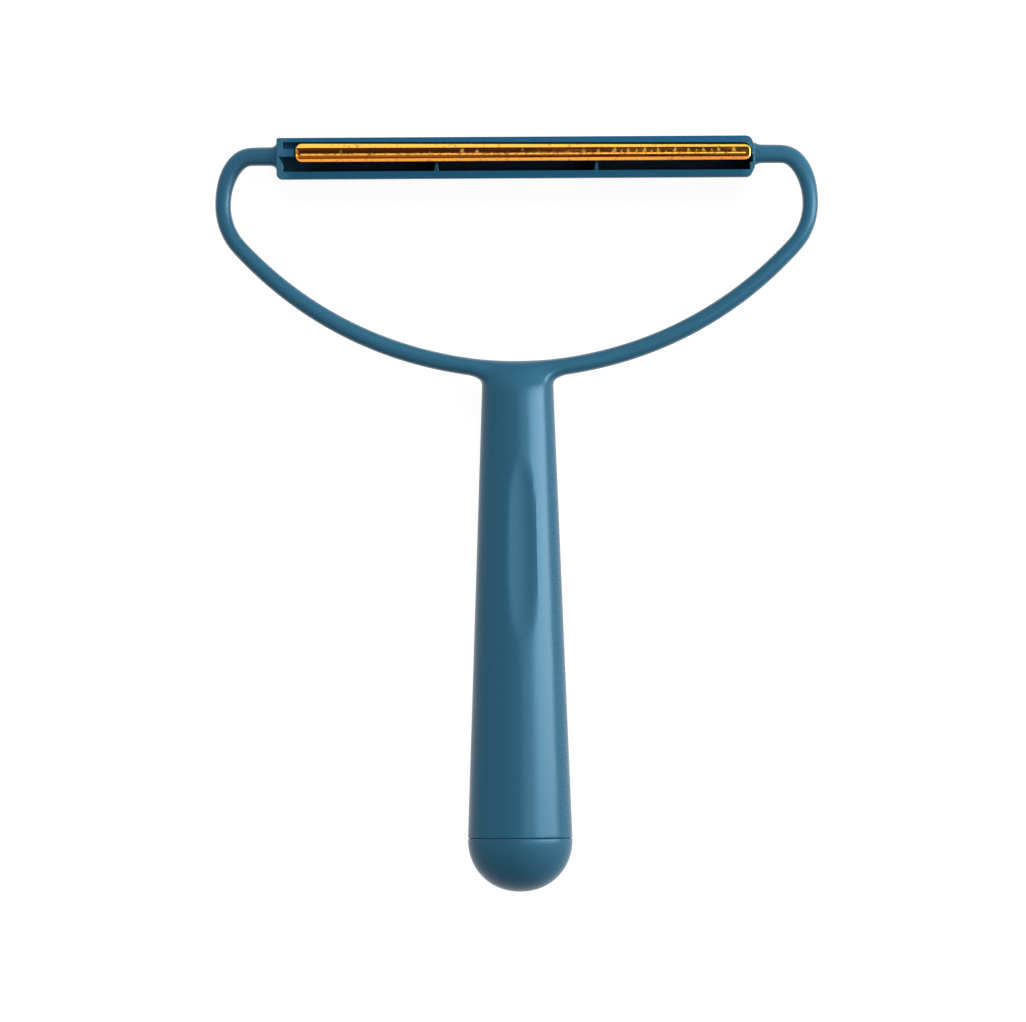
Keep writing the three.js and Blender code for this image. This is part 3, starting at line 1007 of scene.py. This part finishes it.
def model_ridge():
    """The rounded ridge along the blade's floor."""
    blade, at = sizes("blade"), places()
    inside = blade.end_lip + blade.ridge_end
    low = at.ridge_line - blade.ridge_width / 2
    top = at.floor_front + blade.ridge_height
    x0, x1 = inside - blade.left, blade.right - inside
    ridge = block(x0, x1, low, low + blade.ridge_width, at.floor_middle, top)
    pick("EDGE", lambda p, _: p.z > top - NEAR)
    bevel(CREST_ROUND * blade.ridge_width, RIDGE_BEVEL)
    select_all()
    lean()
    taper()
    close()
    return ridge


def model_teeth():
    """A row of small uneven wedges beside the ridge, some with a smaller one beside them."""
    blade, at = sizes("blade"), places()
    flank = at.ridge_line + blade.ridge_width / 2
    tip = flank + blade.tooth_reach
    span = blade.right + blade.left - 2 * blade.lip - 2 * blade.corner
    count = 2 * math.floor(span / blade.tooth_pitch)
    pitch = blade.tooth_pitch / 2
    first = (blade.right - blade.left - (count - 2) * pitch) / 2 + blade.tooth_shift
    fall = (1 - blade.right_height / blade.height) * (flank - at.blade_bottom)
    root = blade.tooth_root / 2
    top = at.floor_front + blade.ridge_height * ROOT_HEIGHT
    teeth = block(first - root, first + root, at.ridge_line, tip, at.floor_middle, top)
    pick("FACE", lambda p, _: p.y > tip - NEAR)
    scale((blade.tooth_tip / blade.tooth_root, 1, TIP_HEIGHT), (first, tip, at.floor_front))
    close()
    offset = {"use_constant_offset": True, "constant_offset_displace": (pitch, -fall / count, 0)}
    modify(teeth, "ARRAY", count=count, use_relative_offset=False, **offset)
    open_mesh(teeth)
    chance = random.Random(TOOTH_SEED)
    for step in range(count):
        middle = first + step * pitch
        size = chance.uniform(*(TEETH_BETWEEN if step % 2 else MAIN_TEETH))
        bend = chance.uniform(-TOOTH_BEND, TOOTH_BEND)
        pick("VERT", lambda p, _: abs(p.x - middle) < pitch / 2)
        scale((size, size, 1), (middle, at.ridge_line, 0))
        pick("VERT", lambda p, _: abs(p.x - middle) < pitch / 2 and p.y > at.ridge_line + TIPS_FROM)
        move(bend * size)
    select_all()
    lean()
    close()
    return teeth


def model_blade():
    """One blade in the front trough: lips, valleys, ridge, teeth and the legs behind."""
    blade, at = sizes("blade"), places()
    lip_round = (blade.lip - blade.lip_flat) / 2
    wall_top = at.lip_crest - lip_round
    piece = block(-blade.left, blade.right, at.blade_bottom, at.blade_top, at.floor_back, wall_top)
    pick("EDGE", lambda p, _: at.floor_back + NEAR < p.z < wall_top - NEAR)
    bevel(blade.corner, CORNER_BEVEL)
    pick("FACE", lambda p, _: p.z > wall_top - NEAR)
    quarter_round(lip_round, LIP_STEPS, True, 1)
    inset(blade.lip_flat, 0)
    lean()
    quarter_round(lip_round, LIP_STEPS, False, -1)
    inset(NEAR, blade.fillet + lip_round - blade.valley)
    quarter_round(blade.fillet, FILLET_STEPS, True, -1)
    taper()
    close_outwards()
    x0, x1 = blade.corner - blade.left, blade.right - blade.corner
    half = blade.sheet / 2
    for side in (-1, 1):
        y = at.blade_line + side * (sizes("head").rib / 2 + blade.leg_gap + half)
        leg = block(x0, x1, y - half, y + half, at.leg_end, at.floor_middle)
        close()
        combine(piece, leg, "UNION")
    combine(piece, model_ridge(), "UNION")
    combine(piece, model_teeth(), "UNION")
    return piece


class LINTBRUSH_OT_blades(bpy.types.Operator):
    """Models the copper blades in the front and back troughs"""

    bl_idname = "lint_brush.blades"
    bl_label = "Copper blades"

    def execute(self, context):
        front = model_blade()
        smooth(front, degrees=40)
        back = turned_copy(front)
        copper = drawn_copper()
        lay(front, "front_copper_blade", "front_blade", "brush", copper)
        lay(back, "rear_copper_blade", "rear_blade", "brush", copper)
        return {"FINISHED"}


# Materials, whose places are in millimetres in the brush's own frame


class Wire:
    """A node tree's output socket; arithmetic on it adds Math nodes."""

    def __init__(self, tree, socket=None):
        self.tree = tree
        self.socket = socket

    def feed(self, node, inputs):
        """Sets a node's inputs, by name or number, or links them to wires."""
        for key, value in inputs.items():
            if isinstance(value, Wire):
                self.tree.links.new(value.socket, node.inputs[key])
            else:
                node.inputs[key].default_value = value

    def add(self, kind, inputs, output=0, **settings):
        """Adds any node with its settings, feeds its inputs and gives one output."""
        node = self.tree.nodes.new(kind)
        for name, value in settings.items():
            setattr(node, name, value)
        self.feed(node, inputs)
        return Wire(self.tree, node.outputs[output])

    def maths(self, operation, *values):
        """A Math node on wires and numbers."""
        return self.add("ShaderNodeMath", dict(enumerate(values)), operation=operation)

    def __add__(self, other):
        return self.maths("ADD", self, other)

    def __radd__(self, other):
        return self.maths("ADD", other, self)

    def __sub__(self, other):
        return self.maths("SUBTRACT", self, other)

    def __rsub__(self, other):
        return self.maths("SUBTRACT", other, self)

    def __mul__(self, other):
        return self.maths("MULTIPLY", self, other)

    def __rmul__(self, other):
        return self.maths("MULTIPLY", other, self)

    def __abs__(self):
        return self.maths("ABSOLUTE", self)

    def sign(self):
        """1 above 0 and -1 below."""
        return self.maths("SIGN", self)

    def rise(self, low, high):
        """0 up to low, 1 from high on, with a smooth rise between."""
        inputs = {"Value": self, "From Min": low, "From Max": high}
        return self.add("ShaderNodeMapRange", inputs, interpolation_type="SMOOTHSTEP")

    def fall(self, low, high):
        """1 up to low, 0 from high on, with a smooth fall between."""
        return 1 - self.rise(low, high)

    def blend(self, first, second):
        """First colour where this is 0, second where it is 1."""
        return self.add("ShaderNodeMix", {0: self, 6: first, 7: second}, output=2, data_type="RGBA")

    def parts(self):
        """The X, Y and Z of points."""
        return (self.add("ShaderNodeSeparateXYZ", {0: self}, output=axis) for axis in "XYZ")

    def noise(self, fineness, detail):
        """Noise at points."""
        return self.add("ShaderNodeTexNoise", {"Vector": self, "Scale": fineness, "Detail": detail})


def new_material(name):
    """A material with its main shader, a wire to draw from and its points in the brush's frame."""
    material = bpy.data.materials.new(name)
    material.use_nodes = True
    wire = Wire(material.node_tree)
    return material, material.node_tree.nodes["Principled BSDF"], wire, brush_points(wire)


def brush_points(wire):
    """Points in the brush's own frame, in millimetres: X along the head, Y up the handle, Z out."""
    back = Euler((-brush_tilt, 0, 0))
    start_point = -(back.to_matrix() @ seam_place()) / MM
    points = wire.add("ShaderNodeTexCoord", {}, output="Object")
    inputs = {"Vector": points, "Location": start_point, "Rotation": back, "Scale": (1 / MM,) * 3}
    return wire.add("ShaderNodeMapping", inputs)


def beside(place, fade):
    """A fade's two ends, which are given from a place."""
    return place + fade[0], place + fade[1]


# Noise in the materials: its middle value, and the fineness and detail of each kind
NOISE_MIDDLE = 0.5
GRAIN = (2.5, 1.0)
LINES = (1.0, 2.0)
PATCHES = (0.35, 1.0)
SPECKS = (1.1, 2.0)

# Fades of the plastic's painted shade, from their places: onto the head, off the rims' ends, past the
# trough's lower wall, upper wall and ends, down from the rim, and towards the trough's paler left end
ONTO_HEAD = (-0.3, 0)
OFF_RIM_ENDS = (-4, -1)
PAST_LOWER_WALL = (-0.1, 0)
PAST_UPPER_WALL = (0.05, 0.15)
PAST_TROUGH_END = (0.1, 0.5)
BELOW_RIM = (-1.5, -0.95)
PALER_END = (-9, -1)

# What the paler end takes from the trough's painted shade, and what grain and depth add to the roughness
PALER_BY = 0.85
GRAIN_ROUGHNESS = 0.04
SUNK_ROUGHNESS = 0.5

# The grain's bump: its strength, and its depth in metres
GRAIN_STRENGTH = 0.015
GRAIN_DEPTH = 0.2 * MM


def blue_plastic():
    """Satin moulded plastic, with painted shade along the head's rims and dark painted shade down in the
    troughs.
    """
    finish, at = bpy.context.scene.lint_brush.finish, places()
    material, shader, wire, points = new_material("blue_plastic")
    x, y, z = points.parts()
    along, to_left = abs(x), -1 * x * z.sign()
    on_rims = y.rise(*beside(at.head_bottom, ONTO_HEAD)) * along.fall(*beside(at.head_end, OFF_RIM_ENDS))
    # Painted shade along the head's rims, darker towards the lower rim
    rim_shade = y.rise(at.trough_bottom, at.trough_top).blend(finish.lower_rim, finish.upper_rim)
    colour = on_rims.blend(finish.plastic, rim_shade)
    # Painted shade down in the troughs, paler towards the left end
    above_wall = y.rise(*beside(at.trough_bottom, PAST_LOWER_WALL))
    below_wall = y.fall(*beside(at.trough_top, PAST_UPPER_WALL))
    inside = above_wall * below_wall * along.fall(*beside(at.trough_end, PAST_TROUGH_END))
    sunk = inside * abs(z).fall(*beside(at.rim, BELOW_RIM))
    shade = sunk * (1 - PALER_BY * to_left.rise(*beside(at.trough_end, PALER_END)))
    grain = points.noise(*GRAIN)
    rougher = (grain - NOISE_MIDDLE) * GRAIN_ROUGHNESS
    bump = {"Height": grain, "Strength": GRAIN_STRENGTH, "Distance": GRAIN_DEPTH}
    looks = {
        "Base Color": shade.blend(colour, finish.plastic_deep),
        "Roughness": finish.plastic_roughness + rougher + sunk * SUNK_ROUGHNESS,
        "Normal": wire.add("ShaderNodeBump", bump),
        "Specular IOR Level": finish.plastic_gloss,
        "Specular Tint": finish.plastic_sheen,
    }
    wire.feed(shader, looks)
    return material


# Fades along the blade, to the right of the handle's axis
RED_FADE = (15, 50)
OLIVE_FADE = (10, 50)
STREAK_FADE = (-20, 15)
GOLD_FADE = (-25, 15)
CLIMB_FADE = (-5, 35)
DULL_FADE = (25, 50)

# Fades across the blade, from their places: below the ridge, below the upper lip, onto the ridge's flank,
# off the ridge's middle, at the foot of the lips and from the ridge's lower side to its upper side
BELOW_RIDGE = (-0.35, -0.15)
BELOW_LIP = (-0.6, -0.1)
ONTO_FLANK = (-0.3, 0)
OFF_RIDGE = (0.4, 0.6)
AT_LIP_FOOT = (-0.1, 0.1)
ACROSS_RIDGE = (-0.2, 0.2)

# The valleys' painted shade: where it begins to fade above the floor and ends below the rim, and its climb
# up the teeth
ABOVE_FLOOR = 0.1
UNDER_RIM = 0.05
CLIMB = 0.6

# The painted shade in the nook at the left end: where it begins, in widths of the end lip, and where it
# ends
NOOK_START = (0.4, 0.55)
NOOK_END = (0.6, 1)

# Values of the noise between which its marks come up
STREAK_MARKS = (0.35, 0.7)
PATCH_MARKS = (0.2, 0.45)
DULL_MARKS = (0.42, 0.58)
WORN_MARKS = (0.55, 0.7)

# Strengths of the shades, the first of them the painted reflection below the upper lip, the lines' stretch
# along the blade and what they add to the roughness
UPPER_GOLD = 0.55
DULL = 0.3
WORN = 0.45
LINE_STRETCH = (0.15, 4.0, 4.0)
LINE_ROUGHNESS = 0.2


def drawn_copper():
    """Polished copper, yellow at the upper lip and orange at the lower one, with worn streaks and painted
    shade in the valleys.
    """
    finish, blade, at = bpy.context.scene.lint_brush.finish, sizes("blade"), places()
    material, shader, wire, points = new_material("drawn_copper")
    x, y, z = points.parts()
    half = blade.height / 2
    to_right = x * z.sign()
    lower = to_right.rise(*RED_FADE).blend(finish.copper_lower, finish.copper_red)
    metal = (y - at.blade_line).rise(-half, half).blend(lower, finish.copper_upper)
    stretched = wire.add("ShaderNodeMapping", {"Vector": points, "Scale": LINE_STRETCH})
    lines, patches, specks = stretched.noise(*LINES), points.noise(*PATCHES), points.noise(*SPECKS)
    streak = to_right.rise(*OLIVE_FADE).blend(finish.copper_brown, finish.copper_olive)
    # Painted shade in the valleys, broken towards the right by worn streaks of brown and olive
    valley_shade_and_streaks = (lines.rise(*STREAK_MARKS) * to_right.rise(*STREAK_FADE)).blend(finish.copper_dark, streak)
    lip_edge = at.blade_top - blade.lip
    below = y.fall(*beside(at.ridge_line, BELOW_RIDGE))
    above = UPPER_GOLD * y.rise(*beside(lip_edge, BELOW_LIP))
    # Painted reflection: the valley is lighter gold below the ridge and under the upper lip, towards the
    # left
    valley_shade_and_streaks = (to_right.fall(*GOLD_FADE) * (below + above)).blend(valley_shade_and_streaks, finish.copper_gold)
    # The valleys' painted shade climbs the teeth in patches, less so towards the right
    flank = at.ridge_line + blade.ridge_width / 2
    patchy = CLIMB * to_right.fall(*CLIMB_FADE) * patches.rise(*PATCH_MARKS)
    climb = patchy * y.rise(*beside(flank, ONTO_FLANK))
    # The valleys take the painted shade, from just above the floor up to just below the rim
    valley = abs(z).fall(climb + (at.floor_front + ABOVE_FLOOR), at.rim - UNDER_RIM)
    on_ridge = abs(y - at.ridge_line).fall(*OFF_RIDGE)
    dull = on_ridge * (DULL * specks.rise(*DULL_MARKS) + DULL * to_right.rise(*DULL_FADE))
    wear_and_nook_shade = (WORN * specks.rise(*WORN_MARKS) + dull).blend(metal, finish.copper_brown)
    # Painted shade also darkens the lip's inside at the left end, with painted reflection below the ridge
    from_left, lip_foot = to_right + blade.left, half - blade.lip
    between_lips = abs(y - at.blade_line).fall(*beside(lip_foot, AT_LIP_FOOT))
    nook_start = (share * blade.end_lip for share in NOOK_START)
    nook = from_left.rise(*nook_start) * from_left.fall(*NOOK_END)
    upper = y.rise(*beside(at.ridge_line, ACROSS_RIDGE))
    wear_and_nook_shade = (between_lips * nook).blend(wear_and_nook_shade, upper.blend(finish.copper_gold, finish.copper_dark))
    roughness = finish.copper_roughness + (lines - NOISE_MIDDLE) * LINE_ROUGHNESS
    wire.feed(shader, {"Base Color": valley.blend(wear_and_nook_shade, valley_shade_and_streaks), "Roughness": roughness, "Metallic": 1.0})
    return material


# The stage

# In metres, apart from the camera's sensor, which is in millimetres
TABLE_SIZE = 12
BRUSH_MIDDLE = 12 * MM
FAR_CLIP = 100
SENSOR_WIDTH = 36

# The lights, in metres: name, place, Y of the aim, width and height, and the rays that don't see it
LIGHTS = (
    ("strip", (0.453, 0.045, 0.223), 0.045, (0.18, 0.53), "diffuse"),
    ("sheen", (0.337, 0.04, 0.846), 0.04, (0.4, 0.48), "diffuse"),
    ("side", (0.587, 0.1, 0.137), 0, (0.6, 0.3), "glossy"),
    ("far", (0, 1.0, 1.0), 0, (1.2, 1.2), "glossy"),
)


def seen_white(wire):
    """1 for rays from the camera and for those that gloss and glass send on, 0 for the rest."""
    camera, glossy, through = (
        wire.add("ShaderNodeLightPath", {}, output=f"Is {kind} Ray")
        for kind in ("Camera", "Glossy", "Transmission")
    )
    return wire.maths("MAXIMUM", camera, wire.maths("MAXIMUM", glossy, through))


def white_table():
    """A matt table that looks white to the camera and keeps the brush's shadow."""
    studio = bpy.context.scene.lint_brush.studio
    material = bpy.data.materials.new("white_table")
    material.use_nodes = True
    nodes = material.node_tree.nodes
    nodes.remove(nodes["Principled BSDF"])
    wire = Wire(material.node_tree)
    matt = wire.add("ShaderNodeBsdfDiffuse", {"Color": (studio.table,) * 3 + (1,)})
    glow = wire.add("ShaderNodeEmission", {"Strength": seen_white(wire) * studio.table_glow})
    both = wire.add("ShaderNodeAddShader", {0: matt, 1: glow})
    wire.feed(nodes["Material Output"], {"Surface": both})
    return material


def soft_light(name, place, aim, extent, power):
    """A rectangular light at a place, turned to an aim, that the camera does not see."""
    bpy.ops.object.light_add(type="AREA", location=place)
    light = bpy.context.object
    light.name = name
    light.data.shape = "RECTANGLE"
    light.data.size, light.data.size_y = extent
    light.data.energy = power
    light.rotation_euler = (Vector(place) - Vector(aim)).to_track_quat("Z", "Y").to_euler()
    light.visible_camera = False
    return light


class LINTBRUSH_OT_stage(bpy.types.Operator):
    """Sets the white table, the lights and the camera"""

    bl_idname = "lint_brush.stage"
    bl_label = "Stage"

    def execute(self, context):
        studio = context.scene.lint_brush.studio
        context.scene.view_settings.view_transform = "Standard"
        floor = start(bpy.ops.mesh.primitive_plane_add, size=TABLE_SIZE, location=(0, 0, 0))
        close()
        floor.name = "table"
        floor.data.materials.append(white_table())
        world = bpy.data.worlds.new("studio")
        context.scene.world = world
        world.use_nodes = True
        wire = Wire(world.node_tree)
        strength = seen_white(wire) * (1 - studio.fill) + studio.fill
        wire.feed(world.node_tree.nodes["Background"], {"Color": (1, 1, 1, 1), "Strength": strength})
        for name, place, aim_y, extent, unseen_by in LIGHTS:
            power = getattr(studio, f"{name}_power")
            light = soft_light(f"{name}_light", place, (0, aim_y, BRUSH_MIDDLE), extent, power)
            setattr(light, f"visible_{unseen_by}", False)
        aim = Vector((studio.aim_x, studio.aim_y, BRUSH_MIDDLE))
        lie = Euler((brush_tilt, 0, studio.roll))
        back = lie.to_matrix() @ Vector((0, 0, studio.camera_distance))
        bpy.ops.object.camera_add(location=aim + back, rotation=lie)
        camera = context.object
        camera.data.sensor_width = SENSOR_WIDTH
        camera.data.lens = SENSOR_WIDTH * studio.camera_distance / studio.frame_width
        camera.data.clip_end = FAR_CLIP
        context.scene.camera = camera
        return {"FINISHED"}


class LINTBRUSH_PT_panel(bpy.types.Panel):
    """The brush's pieces and its stage, in the order they are made, and their settings"""

    bl_idname = "LINTBRUSH_PT_panel"
    bl_label = "Lint Brush"
    bl_space_type = "VIEW_3D"
    bl_region_type = "UI"
    bl_category = "Lint Brush"

    def draw(self, context):
        for operator in OPERATORS:
            self.layout.operator(operator.bl_idname)
        brush = context.scene.lint_brush
        for name in LintBrush.__annotations__:
            group = getattr(brush, name)
            box = self.layout.box()
            box.label(text=brush.bl_rna.properties[name].name)
            for key in type(group).__annotations__:
                box.prop(group, key)


GROUPS = (HandleSizes, BowSizes, HeadSizes, BladeSizes, CapSizes, Finish, Studio, LintBrush)
OPERATORS = (LINTBRUSH_OT_frame, LINTBRUSH_OT_cap, LINTBRUSH_OT_blades, LINTBRUSH_OT_stage)


def register():
    for item in (*GROUPS, *OPERATORS, LINTBRUSH_PT_panel):
        bpy.utils.register_class(item)
    bpy.types.Scene.lint_brush = PointerProperty(type=LintBrush)


def unregister():
    del bpy.types.Scene.lint_brush
    for item in (LINTBRUSH_PT_panel, *reversed(OPERATORS), *reversed(GROUPS)):
        bpy.utils.unregister_class(item)


def main():
    register()
    bpy.ops.lint_brush.frame()
    bpy.ops.lint_brush.cap()
    bpy.ops.lint_brush.blades()
    bpy.ops.lint_brush.stage()


if __name__ == "__main__":
    main()
